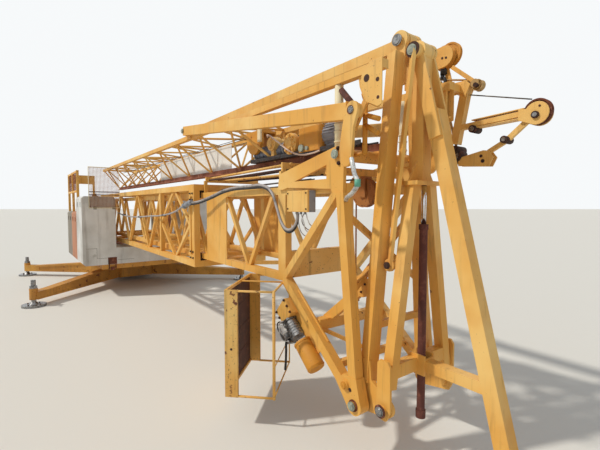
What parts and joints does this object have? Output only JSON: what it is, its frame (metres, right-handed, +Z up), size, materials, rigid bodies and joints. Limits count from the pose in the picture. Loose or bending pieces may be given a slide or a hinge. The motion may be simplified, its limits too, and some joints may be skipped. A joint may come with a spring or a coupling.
{
  "type": "folded self-erecting lattice tower crane",
  "caption": "Folded self-erecting lattice crane: outrigger base, slewing ballast deck, telescoping mast, folded jib and guy frames.",
  "frame": {"origin": "centre of the folded crane's bounding box, on the floor under the foot pads", "axes": "+X from the slewing axis towards the mast head, +Y to the far side, +Z up"},
  "size_m": [11.9147, 4.7998, 3.35],
  "materials": {
    "yellow_paint": "satin",
    "base_paint": "satin",
    "bare_steel": "satin",
    "dark_steel": "matte",
    "rusty_steel": "matte",
    "red_oxide": "matte",
    "pale_concrete": "matte",
    "red_concrete": "matte",
    "grey_concrete": "matte",
    "cable_rubber": "matte",
    "white_board": "satin"
  },
  "bodies": {
    "base": {"base_frame": "base_paint", "outrigger_front_near": "base_paint", "outrigger_front_far": "base_paint", "outrigger_rear_near": "base_paint", "outrigger_rear_far": "base_paint", "jack_feet": "bare_steel"},
    "turntable": {"turntable_deck": "base_paint", "ballast_front": "pale_concrete", "ballast_middle": "red_concrete", "ballast_rear": "grey_concrete", "mast_foot_brackets": "yellow_paint", "ballast_railing": "yellow_paint"},
    "mast_outer": {"outer_mast_near": "yellow_paint", "outer_mast_far": "yellow_paint", "outer_mast_top": "yellow_paint", "outer_mast_bottom": "yellow_paint", "outer_mast_collar": "yellow_paint", "guide_pads": "dark_steel"},
    "mast_inner": {"inner_mast_near": "yellow_paint", "inner_mast_far": "yellow_paint", "inner_mast_top": "yellow_paint", "inner_mast_bottom": "yellow_paint", "head_frame_near": "yellow_paint", "head_frame_far": "yellow_paint", "head_cross_members": "yellow_paint", "electric_box": "yellow_paint", "mast_cable": "cable_rubber", "service_cage": "yellow_paint", "lower_winch": "yellow_paint", "rope_sheave": "rusty_steel"},
    "jib": {"jib_near_face": "yellow_paint", "jib_far_face": "yellow_paint", "jib_top_face": "yellow_paint", "jib_lower_chord": "rusty_steel", "jib_root_frame": "yellow_paint", "jib_tie_beams": "yellow_paint", "sign_panel": "white_board", "hoist_winch": "dark_steel", "end_sheave_frame": "yellow_paint"},
    "guy_frame": {"guy_frame": "yellow_paint"},
    "strut": {"strut_frame": "yellow_paint", "long_strut": "yellow_paint", "erecting_cylinder": "red_oxide", "hanging_link": "yellow_paint"},
    "tie_bar": {"tie_bar": "yellow_paint"}
  },
  "joints": [
    {"name": "slew", "type": "hinge", "parent": "base", "child": "turntable", "pos_m": [-3.7575, 0, 0.485], "axis": [0, 0, 1], "continuous": true},
    {"name": "mast_raise", "type": "hinge", "parent": "turntable", "child": "mast_outer", "pos_m": [-4.5075, 0, 1.15], "axis": [0, -1, 0], "range_deg": [0, 88]},
    {"name": "telescope", "type": "slide", "parent": "mast_outer", "child": "mast_inner", "axis": [1, 0, 0], "range_m": [0, 4.9]},
    {"name": "jib_unfold", "type": "hinge", "parent": "mast_inner", "child": "jib", "pos_m": [4.7775, 0, 2.29], "axis": [0, 1, 0], "range_deg": [0, 90]},
    {"name": "guy_swing", "type": "hinge", "parent": "mast_inner", "child": "guy_frame", "pos_m": [4.9875, 0, 0.42], "axis": [0, 1, 0], "range_deg": [0, 45]},
    {"name": "strut_swing", "type": "hinge", "parent": "guy_frame", "child": "strut", "pos_m": [5.1975, 0, 0.45], "axis": [0, 1, 0], "range_deg": [0, 40]},
    {"name": "tie_bar_swing", "type": "hinge", "parent": "guy_frame", "child": "tie_bar", "pos_m": [5.0475, 0, 3.14], "axis": [0, 1, 0], "range_deg": [0, 31]}
  ],
  "couplings": [
    {"joint": "guy_swing", "follows": "jib_unfold", "ratio": 0.49},
    {"joint": "tie_bar_swing", "follows": "jib_unfold", "ratio": 0.34}
  ]
}
